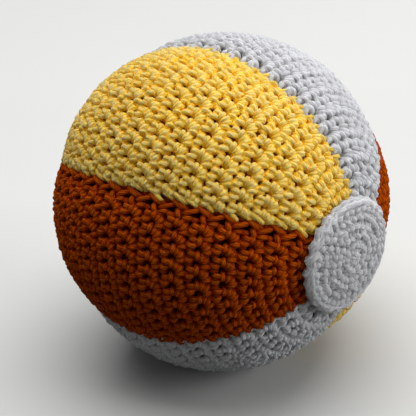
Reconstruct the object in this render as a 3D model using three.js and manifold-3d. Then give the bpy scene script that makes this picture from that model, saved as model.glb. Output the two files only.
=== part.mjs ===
// A stuffed crochet ball: six crowned gores sewn edge to edge, a round disc sewn over each pole,
// and a fibre filling. Millimetres, +Z up. The gores meet at two poles on the X axis, one seam runs
// along the top and one along the bottom, and the ball rests on a small flat of each of the two gores
// beside the bottom seam.
import * as THREE from "three";
import { mergeVertices } from "three/addons/utils/BufferGeometryUtils.js";
import Module from "manifold-3d";

const wasm = await Module();
wasm.setup();

// Driving dimensions of the ball
const GIRTH_DIAMETER = 142; // over the middles of two opposite gores
const POLE_SPAN = 139; // over the bare gores, from pole to pole
const SEAM_DIP = 3; // a seam's depth below the middle of a gore, at the girth
const CROWN_POWER = 2.4; // 2 is a round crown across a gore, more is a flatter one with steeper edges
const FABRIC_BACK = 1.5; // fabric left behind the sewing yarn of a seam
const GORE_TIP = 3; // width of a gore at its tip, between the seats of its two sewing yarns
const SEAM_YARN = 1.8; // diameter of the yarn that sews two gores together

// Driving dimensions of the discs
const DISC_DIAMETER = 47.5; // measured over its curved face
const DISC_COVER = 1.8; // fabric of the disc over its sewing yarn
const DISC_YARN = 1; // diameter of the thin yarn that sews a disc on
const DISC_YARN_INSET = 3; // from the disc's rim in to the middle of its sewing yarn
const DISC_SHIFT = 7.3; // how far off the pole the disc is sewn, along the surface

// Fits
const CLEARANCE = 0.3; // between pieces that lie against each other
const REST_FLAT_DEPTH = 0.5; // how deep the flats that the ball rests on are pressed in

// Turns about the X axis are counted from the top, towards the front (-Y)
const DISC_SHIFT_TURN = THREE.MathUtils.degToRad(114);

// How finely the surfaces are divided
const STATIONS = 20; // along a gore, from pole to pole
const CROWN_STEPS = 8; // across the outside of a gore
const BACK_STEPS = 4; // across the inside of a gore
const YARN_SIDES = 6;
const DISC_STEPS = 4; // from the middle of a disc to the round of its rim
const RIM_STEPS = 3; // round a disc's rim
const DISC_SEGMENTS = 24;
const WELD = 0.001; // points closer than this are one point

const YARN = {
  yellow: new THREE.MeshStandardMaterial({ color: 0xe2b953, roughness: 0.95, metalness: 0 }),
  orange: new THREE.MeshStandardMaterial({ color: 0xb2590f, roughness: 0.95, metalness: 0 }),
  white: new THREE.MeshStandardMaterial({ color: 0xd9dade, roughness: 0.95, metalness: 0 }),
};
const FILLING = new THREE.MeshStandardMaterial({ color: 0xefeee9, roughness: 1, metalness: 0 });

// The gores in order from the seam at the top, each with the yarn that sews it to the gore before it
const GORES = [
  { name: "yellow_gore_upper_front", yarn: "yellow", seam: "seam_yarn_top", seamYarn: "yellow" },
  { name: "orange_gore_front", yarn: "orange", seam: "seam_yarn_upper_front", seamYarn: "yellow" },
  { name: "white_gore_lower_front", yarn: "white", seam: "seam_yarn_lower_front", seamYarn: "orange" },
  { name: "yellow_gore_lower_back", yarn: "yellow", seam: "seam_yarn_bottom", seamYarn: "yellow" },
  { name: "orange_gore_back", yarn: "orange", seam: "seam_yarn_lower_back", seamYarn: "yellow" },
  { name: "white_gore_upper_back", yarn: "white", seam: "seam_yarn_upper_back", seamYarn: "orange" },
];

const goreTurn = (2 * Math.PI) / GORES.length;
const middleOfGore = (index) => goreTurn * (index + 0.5);
const girthRadius = GIRTH_DIAMETER / 2;
const poleRadius = POLE_SPAN / 2;

// The sewing yarn of a seam lies in a seat along the edges of both gores
const seatHalfWidth = SEAM_YARN / 2 + CLEARANCE;
const seatDepth = SEAM_YARN + CLEARANCE;
const fabricThickness = seatDepth + FABRIC_BACK;

// The gores stop short of the pole, where each is as wide as its tip and its share of the two seats
const openingRadius = (seatHalfWidth + GORE_TIP / 2) / Math.sin(goreTurn / 2);
const firstColatitude = Math.asin(openingRadius / (girthRadius - SEAM_DIP));

// The disc's sewing yarn lies in a seat on the disc's underside
const discRadius = DISC_DIAMETER / 2;
const discYarnCircle = discRadius - DISC_YARN_INSET;
const discSeatHalfWidth = DISC_YARN / 2 + CLEARANCE;
const discSeatTop = CLEARANCE + DISC_YARN + CLEARANCE;
const discTop = discSeatTop + DISC_COVER;

// Distance from the X axis at a colatitude, for a turn from the middle of a gore and a depth below
// the outer face
function girthAt(colatitude, turnFromMiddle, depth) {
  const towardsSeam = Math.abs(turnFromMiddle) / (goreTurn / 2);
  const dip = SEAM_DIP * towardsSeam ** CROWN_POWER;
  return (girthRadius - dip - depth) * Math.sin(colatitude);
}

// Point of the ball about its centre, on the gore whose middle lies at the given turn
function ballPoint(colatitude, middleTurn, turnFromMiddle, depth) {
  const girth = girthAt(colatitude, turnFromMiddle, depth);
  const turn = middleTurn + turnFromMiddle;
  return new THREE.Vector3(
    (poleRadius - depth) * Math.cos(colatitude),
    -girth * Math.sin(turn),
    girth * Math.cos(turn),
  );
}

// The same colatitudes for every piece that runs from pole to pole, so that their facets lie along each other
function colatitudes() {
  const span = Math.PI - 2 * firstColatitude;
  return Array.from({ length: STATIONS + 1 }, (_, i) => firstColatitude + (span * i) / STATIONS);
}

// Closed solid through a row of sections with as many points each, its two ends filled by the same triangles
function loft(sections, endTriangles) {
  const count = sections[0].length;
  const positions = sections.flat().flatMap((point) => point.toArray());
  const faces = [];
  for (let row = 0; row + 1 < sections.length; row++) {
    for (let i = 0; i < count; i++) {
      const a = row * count + i;
      const b = row * count + ((i + 1) % count);
      faces.push(a, b + count, b);
      faces.push(a, a + count, b + count);
    }
  }
  const last = (sections.length - 1) * count;
  for (const [a, b, c] of endTriangles) {
    faces.push(a, b, c);
    faces.push(last + c, last + b, last + a);
  }
  const geometry = new THREE.BufferGeometry();
  geometry.setAttribute("position", new THREE.Float32BufferAttribute(positions, 3));
  geometry.setIndex(faces);
  return geometry;
}

// Outline of a gore's fabric at a colatitude, as turns from its middle and depths below its outer face
function goreOutline(colatitude) {
  const edgeTurn = (aside, depth) => {
    const girth = girthAt(colatitude, goreTurn / 2, depth);
    return goreTurn / 2 - Math.asin(aside / girth);
  };
  const outer = edgeTurn(seatHalfWidth, 0);
  const inner = edgeTurn(CLEARANCE / 2, fabricThickness);
  const outline = [];
  for (let i = 0; i <= CROWN_STEPS; i++) {
    outline.push([outer * ((2 * i) / CROWN_STEPS - 1), 0]);
  }
  outline.push([edgeTurn(seatHalfWidth, seatDepth), seatDepth]);
  outline.push([edgeTurn(CLEARANCE / 2, seatDepth), seatDepth]);
  for (let i = 0; i <= BACK_STEPS; i++) {
    outline.push([inner * (1 - (2 * i) / BACK_STEPS), fabricThickness]);
  }
  outline.push([-edgeTurn(CLEARANCE / 2, seatDepth), seatDepth]);
  outline.push([-edgeTurn(seatHalfWidth, seatDepth), seatDepth]);
  return outline;
}

// One gore, from the opening at one pole to the opening at the other
function gore(middleTurn) {
  const outlines = colatitudes().map((colatitude) => ({ colatitude, points: goreOutline(colatitude) }));
  const sections = outlines.map(({ colatitude, points }) =>
    points.map(([turn, depth]) => ballPoint(colatitude, middleTurn, turn, depth)),
  );
  const flat = outlines[0].points.map(([turn, depth]) => new THREE.Vector2(turn * openingRadius, depth));
  return loft(sections, THREE.ShapeUtils.triangulateShape(flat, []));
}

// Round section of a yarn
function yarnSection(diameter) {
  const points = Array.from({ length: YARN_SIDES }, (_, i) => {
    const angle = (2 * Math.PI * i) / YARN_SIDES;
    return new THREE.Vector2((diameter / 2) * Math.cos(angle), (diameter / 2) * Math.sin(angle));
  });
  return new THREE.Shape(points);
}

// Sewing yarn of the seam at the start of a gore, level with the edges that it joins
function seamYarn(middleTurn) {
  const points = colatitudes().map((colatitude) =>
    ballPoint(colatitude, middleTurn, -goreTurn / 2, SEAM_YARN / 2),
  );
  return new THREE.ExtrudeGeometry(yarnSection(SEAM_YARN), {
    extrudePath: new THREE.CatmullRomCurve3(points),
    steps: STATIONS,
    bevelEnabled: false,
  });
}

// Filling that fits inside the gores and stops level with the openings at the poles
function filling() {
  const depth = fabricThickness + CLEARANCE;
  const turns = GORES.flatMap((_, g) =>
    Array.from({ length: BACK_STEPS }, (__, i) => [middleOfGore(g), goreTurn * (i / BACK_STEPS - 0.5)]),
  );
  const sections = colatitudes().map((colatitude) =>
    turns.map(([middle, turn]) => ballPoint(colatitude, middle, turn, depth)),
  );
  const fan = turns.slice(2).map((_, i) => [0, i + 1, i + 2]);
  return loft(sections, fan);
}

// Draws a piece that was made flat, in the X-Z plane and rising along Y, over the pole at +X
function drapeOverPole(geometry) {
  const tilt = new THREE.Vector3(0, -Math.sin(DISC_SHIFT_TURN), Math.cos(DISC_SHIFT_TURN));
  const middle = new THREE.Vector3(poleRadius, 0, 0).addScaledVector(tilt, DISC_SHIFT).normalize();
  const across = new THREE.Vector3().crossVectors(tilt, middle).normalize();
  const along = new THREE.Vector3().crossVectors(middle, across);
  const position = geometry.getAttribute("position");
  for (let i = 0; i < position.count; i++) {
    const flat = new THREE.Vector3().fromBufferAttribute(position, i);
    const reach = Math.hypot(flat.x, flat.z) / poleRadius;
    const heading = Math.atan2(flat.z, flat.x);
    const direction = new THREE.Vector3()
      .addScaledVector(middle, Math.cos(reach))
      .addScaledVector(along, Math.sin(reach) * Math.cos(heading))
      .addScaledVector(across, Math.sin(reach) * Math.sin(heading));
    const aside = Math.hypot(direction.y, direction.z);
    const surface = 1 / Math.hypot(direction.x / poleRadius, aside / girthRadius);
    position.setXYZ(i, ...direction.multiplyScalar(surface + flat.y).toArray());
  }
  return geometry;
}

// Disc with a rounded rim, and a seat for its sewing yarn on the underside
function disc() {
  const rimRound = new THREE.Path();
  rimRound.absarc(discRadius - DISC_COVER, discSeatTop, DISC_COVER, 0, Math.PI / 2, false);
  const profile = [
    new THREE.Vector2(0, CLEARANCE),
    new THREE.Vector2((discYarnCircle - discSeatHalfWidth) / 2, CLEARANCE),
    new THREE.Vector2(discYarnCircle - discSeatHalfWidth, CLEARANCE),
    new THREE.Vector2(discYarnCircle - discSeatHalfWidth, discSeatTop),
    new THREE.Vector2(discYarnCircle + discSeatHalfWidth, discSeatTop),
    new THREE.Vector2(discYarnCircle + discSeatHalfWidth, CLEARANCE),
    new THREE.Vector2(discRadius, CLEARANCE),
    ...rimRound.getPoints(RIM_STEPS),
  ];
  for (let i = DISC_STEPS - 1; i >= 0; i--) {
    profile.push(new THREE.Vector2(((discRadius - DISC_COVER) * i) / DISC_STEPS, discTop));
  }
  return drapeOverPole(new THREE.LatheGeometry(profile, DISC_SEGMENTS));
}

// Thin yarn that sews a disc on, running round under its rim
function discYarn() {
  const ring = new THREE.TorusGeometry(discYarnCircle, DISC_YARN / 2, YARN_SIDES, DISC_SEGMENTS);
  ring.rotateX(-Math.PI / 2);
  ring.translate(0, CLEARANCE + DISC_YARN / 2, 0);
  return drapeOverPole(ring);
}

// Solid of a closed geometry
function solidOf(geometry) {
  const bare = new THREE.BufferGeometry();
  bare.setAttribute("position", geometry.getAttribute("position"));
  bare.setIndex(geometry.getIndex());
  const merged = mergeVertices(bare, WELD);
  const vertProperties = new Float32Array(merged.getAttribute("position").array);
  const triVerts = new Uint32Array(merged.getIndex().array);
  return new wasm.Manifold(new wasm.Mesh({ numProp: 3, vertProperties, triVerts }));
}

// What is left of a geometry above a height
function cutFlat(geometry, height) {
  const below = new THREE.BoxGeometry(POLE_SPAN, GIRTH_DIAMETER, girthRadius);
  below.translate(0, 0, height - girthRadius / 2);
  const mesh = solidOf(geometry).subtract(solidOf(below)).getMesh();
  const cut = new THREE.BufferGeometry();
  cut.setAttribute("position", new THREE.BufferAttribute(mesh.vertProperties, 3));
  cut.setIndex(new THREE.BufferAttribute(mesh.triVerts, 1));
  return cut;
}

function addPiece(group, name, geometry, material) {
  const mesh = new THREE.Mesh(geometry, material);
  mesh.name = name;
  group.add(mesh);
  return mesh;
}

// Height of the rest flats, pressed into the lowest gores, counted from the ball's centre
function restHeight(goreShapes) {
  const lowest = goreShapes.map((shape) => {
    shape.computeBoundingBox();
    return shape.boundingBox.min.z;
  });
  return Math.min(...lowest) + REST_FLAT_DEPTH;
}

function crochetBall() {
  const ball = new THREE.Group();
  const goreShapes = GORES.map((_, index) => gore(middleOfGore(index)));
  const rest = restHeight(goreShapes);
  GORES.forEach((piece, index) => {
    addPiece(ball, piece.name, cutFlat(goreShapes[index], rest), YARN[piece.yarn]);
    addPiece(ball, piece.seam, seamYarn(middleOfGore(index)), YARN[piece.seamYarn]);
  });
  for (const side of ["right", "left"]) {
    const turned = side === "left" ? Math.PI : 0;
    addPiece(ball, `pole_disc_${side}`, disc(), YARN.white).rotation.z = turned;
    addPiece(ball, `disc_sewing_yarn_${side}`, discYarn(), YARN.white).rotation.z = turned;
  }
  addPiece(ball, "fibre_filling", filling(), FILLING);
  ball.position.z = -rest;
  return ball;
}

export default crochetBall();
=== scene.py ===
"""Stuffed crochet ball: six gores of single crochet sewn together, with a disc over each pole."""

import logging
import math
from collections.abc import Iterator, Sequence
from dataclasses import dataclass, field
from enum import Enum

import bpy
import numpy as np
from bpy.types import Material, Mesh, Node, NodeSocket, NodeTree, Object, World
from mathutils import Matrix, Vector


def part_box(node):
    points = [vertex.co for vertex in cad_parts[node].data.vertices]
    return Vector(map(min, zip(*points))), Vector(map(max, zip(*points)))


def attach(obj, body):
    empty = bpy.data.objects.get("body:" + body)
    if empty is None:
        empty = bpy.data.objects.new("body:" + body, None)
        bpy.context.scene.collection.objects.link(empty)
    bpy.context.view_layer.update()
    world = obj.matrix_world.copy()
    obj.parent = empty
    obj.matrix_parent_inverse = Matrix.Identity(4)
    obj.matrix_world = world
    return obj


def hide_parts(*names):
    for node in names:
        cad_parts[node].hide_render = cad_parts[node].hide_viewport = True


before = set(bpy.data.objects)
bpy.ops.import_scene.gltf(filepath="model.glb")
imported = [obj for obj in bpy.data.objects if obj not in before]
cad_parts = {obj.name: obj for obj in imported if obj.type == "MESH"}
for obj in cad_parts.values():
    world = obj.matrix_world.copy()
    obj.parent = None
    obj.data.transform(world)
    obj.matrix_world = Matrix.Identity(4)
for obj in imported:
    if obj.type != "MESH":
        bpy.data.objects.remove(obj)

log = logging.getLogger("crochet_ball")

Rgb = tuple[int, int, int]
Pair = tuple[float, float]
Triple = tuple[float, float, float]
Array = np.ndarray
# Points of strands, one strand a row, the same points moved outward, and their heights.
Routes = Sequence[Array]

BODY = "root"
GORE_TURN = math.radians(60.0)
YARN_THICKNESS = 0.00183
# Share of its thickness that the middle of a strand lies under the ball's surface.
LIE = 0.7
STITCH_WIDTH = 0.0055
ROW_PAIRS = 21
FIRST_COLATITUDE = math.radians(4.6)
ROW_PAIR = (math.pi - 2.0 * FIRST_COLATITUDE) / ROW_PAIRS
# Shares of a seam's or an edge's looseness across it, along it and up.
EDGE_SLACK = np.array([1.0, 0.6, 2.0])

YARN_MAP = "Yarn"
BAKE_MAP = "OFBake"
TINT = "tint"
# How deep each point of a strand lies, from 0 on top to 1 deep down: the yarn's material paints
# shade where deep and a highlight where raised.
SUNK = "sunk"
# One strand's cell of the bake map: margin, length and girth, and two round ends above them.
CELL_MARGIN = 0.03
CELL_LENGTH = 0.94
CELL_GIRTH = 0.77
CELL_ENDS = (0.25, 0.75)
CELL_END_ROW = 0.9
CELL_END_SIZE = (0.2, 0.07)
# How far the yarn's map moves along from the palest strand to the darkest.
TINT_SHIFT = 40.0
# Rows of the bake map for the strands on top, for the deep strands and for the body behind them.
WHOLE_BAND = (0.0, 1.0)
TOP_BAND = (0.0, 0.8)
DEEP_BAND = (0.8, 0.94)
DISC_BAND = (0.0, 0.94)
STRIP_ROW = 0.948
STRIP_HEIGHT = 0.05


class YarnColour(Enum):
    """Colour of a yarn, as the name of its slot in the record."""

    YELLOW = "yellow_yarn"
    ORANGE = "orange_yarn"
    WHITE = "white_yarn"


class HookSide(Enum):
    """Way that the sewing stitches of a seam lean over it, as the sign of their turn."""

    ONWARD = 1
    BACKWARD = -1


def linear(colour: Rgb) -> tuple[float, float, float, float]:
    """Scene-linear colour of an sRGB colour.

    Args:
        colour: Red, green and blue, 0 to 255.

    Returns:
        Red, green, blue and an alpha of 1, for a shader socket.
    """
    parts = [value / 255.0 for value in colour]
    curve = [part / 12.92 if part <= 0.04045 else ((part + 0.055) / 1.055) ** 2.4 for part in parts]
    return (curve[0], curve[1], curve[2], 1.0)


def let_go() -> None:
    """Leaves edit mode and deselects everything, so that an operator acts on new work alone."""
    if bpy.context.object is not None and bpy.context.object.mode != "OBJECT":
        bpy.ops.object.mode_set(mode="OBJECT")
    bpy.ops.object.select_all(action="DESELECT")


def take_up(thing: Object) -> None:
    """Selects one object alone and makes it the active one.

    Args:
        thing: The object.
    """
    let_go()
    thing.select_set(True)
    bpy.context.view_layer.objects.active = thing


def join(whole: Object, part: Object) -> Object:
    """Joins a part to an object.

    Args:
        whole: Object that takes the part in.
        part: Object that is joined to it.

    Returns:
        The first object, with the part.
    """
    take_up(whole)
    part.select_set(True)
    bpy.ops.object.join()
    return whole


def vertex_places(mesh: Mesh) -> Array:
    """Places of a mesh's vertices, one a row."""
    return np.array([vertex.co for vertex in mesh.vertices])


def map_strip(mesh: Mesh) -> None:
    """Squeezes a mesh's own map into the strip of the bake map over the strands.

    Args:
        mesh: The mesh.
    """
    mesh.uv_layers[0].name = BAKE_MAP
    spots = np.empty(len(mesh.loops) * 2, np.float32)
    mesh.uv_layers[BAKE_MAP].data.foreach_get("uv", spots)
    spots = spots.reshape(-1, 2) * np.array([1.0, STRIP_HEIGHT]) + np.array([0.0, STRIP_ROW])
    mesh.uv_layers[BAKE_MAP].data.foreach_set("uv", spots.reshape(-1).astype(np.float32))


class NodeBoard:
    """Node tree of one material or world, with short ways to add and join its nodes."""

    def __init__(self, owner: Material | World) -> None:
        """Starts with an empty node tree.

        Args:
            owner: Material or world that the tree belongs to.
        """
        owner.use_nodes = True
        self.owner: Material | World = owner
        self.tree: NodeTree = owner.node_tree
        self.tree.nodes.clear()

    def add(
        self, kind: str, values: dict[str | int, object] | None = None, **settings: object
    ) -> Node:
        """Adds a node.

        Args:
            kind: Node type, without the ShaderNode that its name starts with.
            values: An output to link or a plain value to set, by the name or number of the input.
            **settings: Properties to set on the node.

        Returns:
            The new node.
        """
        node = self.tree.nodes.new("ShaderNode" + kind)
        for name, value in settings.items():
            setattr(node, name, value)
        for key, value in (values or {}).items():
            if isinstance(value, NodeSocket):
                self.tree.links.new(value, node.inputs[key])
            else:
                node.inputs[key].default_value = value
        return node

    def maths(self, operation: str, *values: object) -> NodeSocket:
        """Adds a Math node, with an output or a number for each input."""
        return self.add("Math", dict(enumerate(values)), operation=operation).outputs[0]

    def clamp(self, value: NodeSocket) -> NodeSocket:
        """Keeps a value between 0 and 1."""
        return self.maths("MINIMUM", self.maths("MAXIMUM", value, 0.0), 1.0)

    def blend(self, share: object, first: object, second: object, way: str = "MIX") -> NodeSocket:
        """Mixes two colours, by the share of the second one."""
        values = {0: share, 6: first, 7: second}
        return self.add("Mix", values, data_type="RGBA", blend_type=way).outputs[2]

    def grain(self, vector: NodeSocket, scale: float, detail: float = 2.0) -> NodeSocket:
        """Adds noise from 0 to 1, of a scale and a number of finer layers."""
        values = {"Vector": vector, "Scale": scale, "Detail": detail}
        return self.add("TexNoise", values).outputs["Fac"]

    def bump(self, height: NodeSocket, strength: float, distance: float) -> NodeSocket:
        """Adds a bump, where a height of 1 stands for a distance in metres."""
        values = {"Height": height, "Strength": strength, "Distance": distance}
        return self.add("Bump", values).outputs[0]

    def places(self) -> NodeSocket:
        """Adds the coordinates of the object itself."""
        return self.add("TexCoord").outputs["Object"]

    def finish(self, shader: Node) -> Material | World:
        """Links a shader to the output of the tree and gives the tree's owner."""
        self.add("Output" + type(self.owner).__name__, {"Surface": shader.outputs[0]})
        return self.owner


@dataclass(frozen=True)
class CottonYarn:
    """Plied cotton yarn: soft plies, fibre streaks, uneven dye, painted shade and painted
    highlight.
    """

    name: str
    colour: Rgb
    # Colour of the painted shade in the grooves and deep parts.
    groove: Rgb
    # Pale colour: random pale tone, and the painted highlight on raised strands.
    bloom: Rgb
    depth: Triple = (1.0, 0.6, 0.25)
    # Share of painted shade in the valleys between the plies.
    furrow: float = 0.6
    relief: float = 0.6
    # Share of painted shade where the yarn lies deep.
    hollow: float = 0.9
    sheen: float = 0.8
    down: Rgb = (236, 236, 240)
    gloss: float = 0.1
    plies: int = 6
    nap: float = 0.25
    streaks: Triple = (0.5, 26.0, 37.0)
    streak_shade: Pair = (0.4, 0.8)
    roughness: Pair = (0.12, 0.8)
    dye_scale: float = 55.0
    # Share of the pale colour on raised strands: painted highlight.
    raised_fade: float = 0.7
    raised_power: float = 3.0
    uneven_fade: float = 0.4
    least_fade: float = -0.12
    furrow_power: float = 1.5
    hollow_power: float = 1.3
    ply_height: float = 0.8
    relief_height: float = 0.12
    softness: float = 0.9
    soft_reach: float = 0.0021

    def material(self) -> Material:
        """Makes the yarn's material.

        Returns:
            A node material that follows the yarn's own map, along and round each strand.
        """
        board = NodeBoard(bpy.data.materials.new(self.name))
        split = board.add("SeparateXYZ", {0: board.add("UVMap", uv_map=YARN_MAP).outputs[0]})
        along, around = split.outputs[0], split.outputs[1]
        tint, sunk = (
            board.add("Attribute", attribute_name=name).outputs["Fac"] for name in (TINT, SUNK)
        )
        wave = board.maths("COSINE", board.maths("MULTIPLY", around, self.plies * math.tau))
        ply = board.maths("MULTIPLY_ADD", wave, 0.5, 0.5)
        parts = zip((along, around, tint), self.streaks)
        stretched = (board.maths("MULTIPLY", *part) for part in parts)
        strands = board.add("CombineXYZ", dict(enumerate(stretched)))
        fibre = board.grain(strands.outputs[0], 1.0, 3.0)
        dye = board.grain(board.places(), self.dye_scale)
        uneven = board.maths("MULTIPLY_ADD", tint, 0.5, board.maths("MULTIPLY", dye, 0.5))
        # Painted highlight: raised strands turn towards the pale colour, added to the random pale
        # tone of each strand and of the dye.
        raised = board.maths("POWER", board.maths("SUBTRACT", 1.0, sunk), self.raised_power)
        worn = board.maths("MULTIPLY_ADD", uneven, self.uneven_fade, self.least_fade)
        faded = board.maths("MULTIPLY_ADD", raised, self.raised_fade, worn)
        dyed_and_highlit = board.blend(board.clamp(faded), linear(self.colour), linear(self.bloom))
        # Painted shade in the valleys between the plies.
        valley = board.maths("POWER", board.maths("SUBTRACT", 1.0, ply), self.furrow_power)
        furrow = board.maths("MULTIPLY", valley, self.furrow)
        groove_shaded = board.blend(furrow, dyed_and_highlit, linear(self.groove))
        # Painted shade where the yarn lies deep.
        pit_shade = board.maths("MULTIPLY", board.maths("POWER", sunk, self.hollow_power), self.hollow)
        shaded = board.blend(pit_shade, groove_shaded, linear(self.groove))
        shade = board.maths("MULTIPLY_ADD", fibre, *self.streak_shade)
        tone = board.add("CombineColor", {0: shade, 1: shade, 2: shade}).outputs[0]
        height = board.maths("ADD", board.maths("MULTIPLY", ply, self.ply_height), fibre)
        cotton = {
            "Base Color": board.blend(1.0, shaded, tone, "MULTIPLY"),
            "Roughness": board.maths("MULTIPLY_ADD", fibre, *self.roughness),
            "Specular IOR Level": self.gloss,
            "Subsurface Weight": self.softness,
            "Subsurface Radius": self.depth,
            "Subsurface Scale": self.soft_reach,
            "Sheen Weight": self.sheen,
            "Sheen Roughness": self.nap,
            "Sheen Tint": linear(self.down),
            "Normal": board.bump(height, self.relief, YARN_THICKNESS * self.relief_height),
        }
        return board.finish(board.add("BsdfPrincipled", cotton, subsurface_method="BURLEY"))


@dataclass(frozen=True)
class FibreTangle:
    """Dull tangle of fibre: yarn crossing behind the stitches in painted shade, or the loose
    filling.
    """

    name: str
    colour: Rgb
    deep: Rgb
    scale: float = 620.0
    layers: float = 3.0
    relief: float = 0.6
    relief_height: float = 0.0005
    roughness: Pair = (0.1, 0.88)
    gloss: float = 0.1
    sheen: float = 0.0

    def material(self) -> Material:
        """Makes the tangle's material.

        Returns:
            A dull node material with darker strands.
        """
        board = NodeBoard(bpy.data.materials.new(self.name))
        tangle = board.grain(board.places(), self.scale, self.layers)
        fibre = {
            "Base Color": board.blend(tangle, linear(self.deep), linear(self.colour)),
            "Roughness": board.maths("MULTIPLY_ADD", tangle, *self.roughness),
            "Specular IOR Level": self.gloss,
            "Sheen Weight": self.sheen,
            "Normal": board.bump(tangle, self.relief, self.relief_height),
        }
        return board.finish(board.add("BsdfPrincipled", fibre))


@dataclass(frozen=True)
class PaleFloor:
    """Matt pale sweep under the ball, with a darker colour for the light that it throws back."""

    name: str = "pale studio floor"
    colour: Rgb = (206, 206, 204)
    mottle: int = 4
    mottle_scale: float = 9.0
    bounce: Rgb = (118, 119, 116)
    haze: Rgb = (231, 231, 229)
    roughness: float = 0.95
    gloss: float = 0.1
    clear: float = 0.35
    faded: float = 0.9

    def material(self) -> Material:
        """Makes the floor's material.

        Returns:
            A matt node material with a faint mottle, which fades into an even backdrop.
        """
        board = NodeBoard(bpy.data.materials.new(self.name))
        whole = board.places()
        red, green, blue = (value - self.mottle for value in self.colour)
        mottle = board.grain(whole, self.mottle_scale, 3.0)
        pale = board.blend(mottle, linear((red, green, blue)), linear(self.colour))
        ray = board.add("LightPath").outputs
        seen = board.maths("MAXIMUM", ray["Is Camera Ray"], ray["Is Glossy Ray"])
        seen = board.maths("MAXIMUM", seen, ray["Is Transmission Ray"])
        colour = board.blend(seen, linear(self.bounce), pale)
        matt = {"Base Color": colour, "Roughness": self.roughness, "Specular IOR Level": self.gloss}
        paper = board.add("BsdfPrincipled", matt)
        away = board.add("VectorMath", {0: whole}, operation="LENGTH").outputs["Value"]
        reach = {0: away, 1: self.clear, 2: self.faded}
        fade = board.add("MapRange", reach, interpolation_type="SMOOTHSTEP")
        share = board.maths("MULTIPLY", fade.outputs[0], seen)
        backdrop = board.add("Emission", {"Color": linear(self.haze)})
        both = {0: share, 1: paper.outputs[0], 2: backdrop.outputs[0]}
        return board.finish(board.add("MixShader", both))


# Each yarn: its colour, its painted shade colour for grooves and deep parts, its pale colour for
# random tone and painted highlight, and how far light scatters in it.
YARNS: dict[YarnColour, CottonYarn] = {
    YarnColour.YELLOW: CottonYarn(
        "yellow cotton yarn", (228, 190, 3), (236, 170, 0), (205, 195, 134), (1.0, 0.85, 0.3),
        furrow=0.45, relief=0.7, hollow=0.64, down=(255, 252, 240), gloss=0.25
    ),
    YarnColour.ORANGE: CottonYarn(
        "rust cotton yarn", (141, 45, 0), (102, 24, 0), (184, 86, 3), (0.8, 0.4, 0.2),
        furrow=0.65, relief=0.7, hollow=0.8, down=(200, 84, 0), gloss=0.02
    ),
    YarnColour.WHITE: CottonYarn(
        "white cotton yarn", (185, 185, 187), (147, 145, 145), (198, 199, 204), (0.8, 0.8, 0.8),
        furrow=0.3, relief=0.5, hollow=0.75
    ),
}

# Darker copies of each yarn's colour for the web behind the stitches: painted shade in the holes
# and gaps.
SHADED_WEBS: dict[YarnColour, FibreTangle] = {
    YarnColour.YELLOW: FibreTangle("painted shade inside the yellow crochet", (156, 78, 0), (98, 42, 0)),
    YarnColour.ORANGE: FibreTangle("painted shade inside the rust crochet", (66, 20, 1), (36, 9, 0)),
    YarnColour.WHITE: FibreTangle("painted shade inside the white crochet", (120, 112, 110), (74, 68, 66)),
}
# Grey body under the disc's stitches, darker than the white yarn: painted shade between the knobs.
SHADED_DISC_BODY = FibreTangle("painted shade body of the white disc", (170, 170, 172), (132, 132, 134))
FILLING = FibreTangle(
    "white fibre filling", (232, 231, 228), (196, 194, 190), scale=240.0, layers=6.0,
    relief=0.8, relief_height=0.001, roughness=(0.1, 0.85), gloss=0.5, sheen=0.4
)


@dataclass(frozen=True)
class BallForm:
    """Outer surface of the stuffed ball, crowned across each gore and drawn in at each seam."""

    girth_radius: float
    centre_height: float
    pole_radius: float
    seam_dip: float = 0.003
    crown_power: float = 2.4

    def point(self, colatitude: Array, turn: Array, height: Array) -> Array:
        """Places points on or near the surface.

        Args:
            colatitude: Angle from the right pole.
            turn: Angle round the pole axis, from the top towards the front.
            height: Height above the surface, in metres.

        Returns:
            Points, with x, y and z on the last axis.
        """
        across = 2.0 * np.mod(turn / GORE_TURN, 1.0) - 1.0
        dip = self.seam_dip * np.abs(across) ** self.crown_power
        girth = (self.girth_radius - dip + height) * np.sin(colatitude)
        reach = (self.pole_radius + height) * np.cos(colatitude)
        up = self.centre_height + girth * np.cos(turn)
        return np.stack(np.broadcast_arrays(reach, -girth * np.sin(turn), up), -1)

    def routes(self, colatitude: Array, turn: Array, rise: Array) -> Routes:
        """Lays out the routes of strands.

        Args:
            colatitude: Angle from the right pole, for each strand and point.
            turn: Angle round the pole axis, likewise.
            rise: Height over the fabric in yarn thicknesses, likewise.

        Returns:
            The routes.
        """
        height = (rise - LIE) * YARN_THICKNESS
        low = self.point(colatitude, turn, height)
        return (low, self.point(colatitude, turn, height + YARN_THICKNESS), height)

    def width(self, colatitude: Array) -> Array:
        """Width of a gore, seam to seam, at a colatitude."""
        return self.girth_radius * np.sin(colatitude) * GORE_TURN


def smooth_step(value: Array, low: float, high: float) -> Array:
    """Eases from 0 at low to 1 at high.

    Args:
        value: Values to ease.
        low: Where the step starts.
        high: Where the step ends.

    Returns:
        The eased values.
    """
    part = np.clip((value - low) / (high - low), 0.0, 1.0)
    return part * part * (3.0 - 2.0 * part)


def through_points(points: Array, stations: int) -> Array:
    """Runs a smooth curve through points.

    Args:
        points: Points of one strand, one a row.
        stations: Number of points wanted along the curve.

    Returns:
        Evenly spread points of the curve.
    """
    ends = np.vstack([2 * points[0] - points[1], points, 2 * points[-1] - points[-2]])
    place = np.linspace(0.0, len(points) - 1.0, stations)
    start = np.minimum(place.astype(int), len(points) - 2)
    part = (place - start)[:, None]
    before, here, after, beyond = (ends[start + step] for step in range(4))
    return 0.5 * (
        2 * here
        + (after - before) * part
        + (2 * before - 5 * here + 4 * after - beyond) * part**2
        + (3 * here - before - 3 * after + beyond) * part**3
    )


def off_poles(colatitude: Array, share: float = 1.0) -> Array:
    """Keeps colatitudes off the poles, by a share of the first row's colatitude."""
    return np.clip(colatitude, FIRST_COLATITUDE * share, math.pi - FIRST_COLATITUDE * share)


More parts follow.
